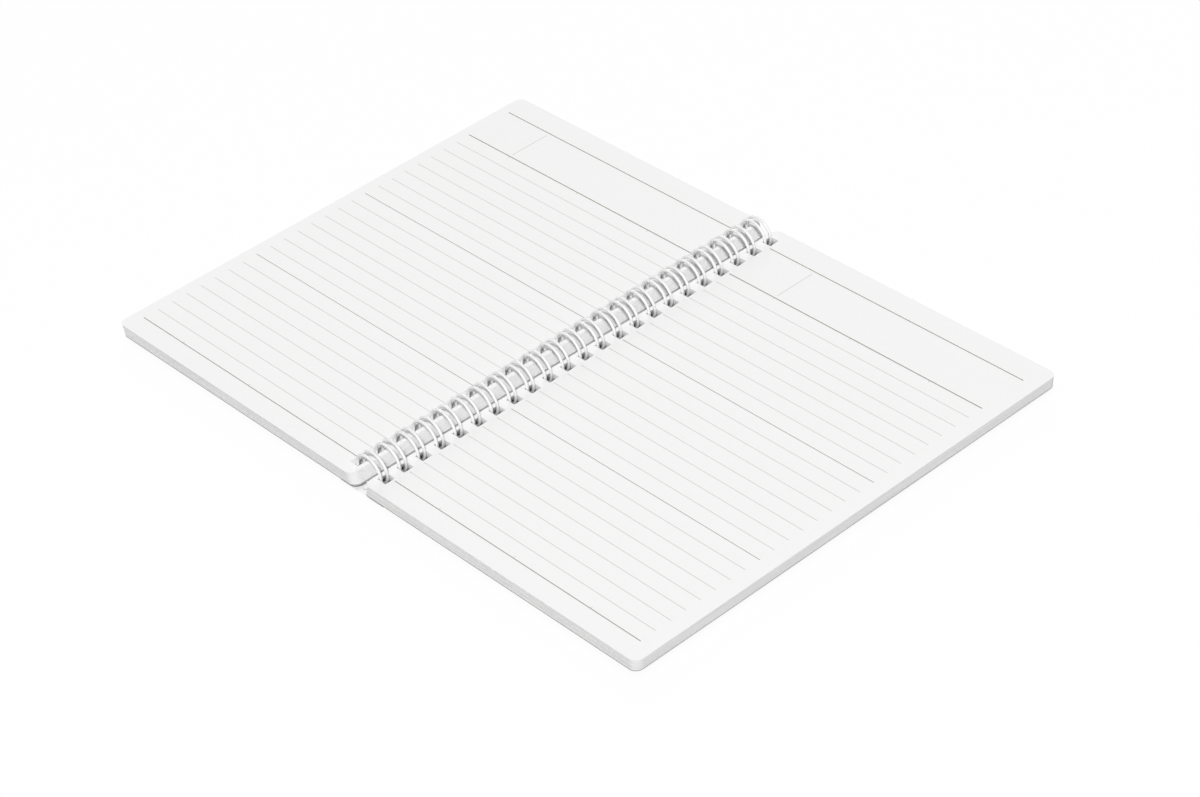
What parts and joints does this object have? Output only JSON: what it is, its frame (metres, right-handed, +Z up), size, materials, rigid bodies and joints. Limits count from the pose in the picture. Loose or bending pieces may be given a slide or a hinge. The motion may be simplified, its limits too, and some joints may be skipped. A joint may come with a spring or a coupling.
{
  "type": "wire-bound notebook",
  "caption": "Open lined notebook lying flat: two blocks of rounded pages on thin covers, bound by a continuous white twin-loop wire.",
  "frame": {"origin": "on the surface the notebook lies on, under the middle of the spine", "axes": "+X from the left page to the right page, +Y up the page towards its head, +Z up from the surface it lies on"},
  "size_m": [0.302, 0.21, 0.0146],
  "materials": {
    "paper": "matt uncoated sheets, printed with ruled lines",
    "cover_board": "smooth grey card",
    "coated_wire": "white nylon-coated steel wire, satin"
  },
  "bodies": {
    "binding": {"twin_loop_wire": "coated_wire"},
    "front": {"front_cover": "cover_board"},
    "left_leaves": {"left_pages": "paper"},
    "back": {"back_cover": "cover_board"},
    "right_leaves": {"right_pages": "paper"}
  },
  "joints": [
    {"name": "front_cover_hinge", "type": "hinge", "parent": "binding", "child": "front", "pos_m": [0, 0, 0.00718], "axis": [0, 1, 0], "range_deg": [0, 180]},
    {"name": "left_pages_hinge", "type": "hinge", "parent": "front", "child": "left_leaves", "pos_m": [0, 0, 0.00718], "axis": [0, 1, 0], "range_deg": [0, 180]},
    {"name": "back_cover_hinge", "type": "hinge", "parent": "binding", "child": "back", "pos_m": [0, 0, 0.00718], "axis": [0, -1, 0], "range_deg": [0, 180]},
    {"name": "right_pages_hinge", "type": "hinge", "parent": "back", "child": "right_leaves", "pos_m": [0, 0, 0.00718], "axis": [0, -1, 0], "range_deg": [0, 180]}
  ]
}
